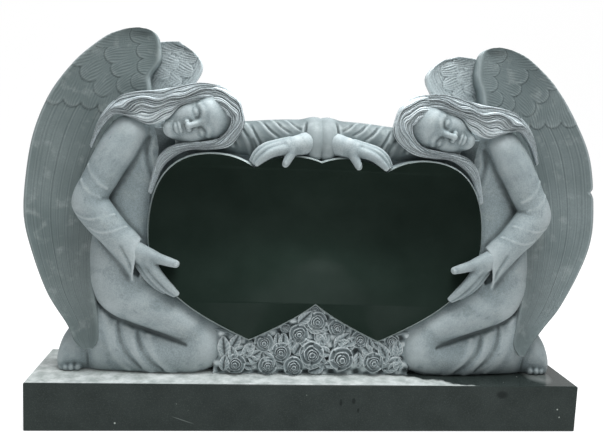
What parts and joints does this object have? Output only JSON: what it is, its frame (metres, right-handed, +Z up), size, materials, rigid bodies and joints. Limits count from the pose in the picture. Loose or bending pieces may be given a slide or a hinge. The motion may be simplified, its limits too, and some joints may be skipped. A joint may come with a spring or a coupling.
{
  "type": "angel double heart headstone",
  "caption": "Carved granite memorial headstone: two kneeling winged angels lean on a double heart with a bank of roses, on a polished base slab.",
  "frame": {"origin": "middle of the base slab's underside", "axes": "+X to the right along the slab's length, +Y from the front to the back, +Z up"},
  "size_m": [1.8934, 0.34, 1.2743],
  "materials": {
    "polished_granite": "mirror-polished dark grey-green granite with a fine speckle",
    "carved_granite": "carved and honed grey granite, lighter on the crests and darker in the cuts"
  },
  "bodies": {
    "root": {"base_slab": "polished_granite", "angel_heart_stone": "carved_granite"}
  },
  "joints": []
}
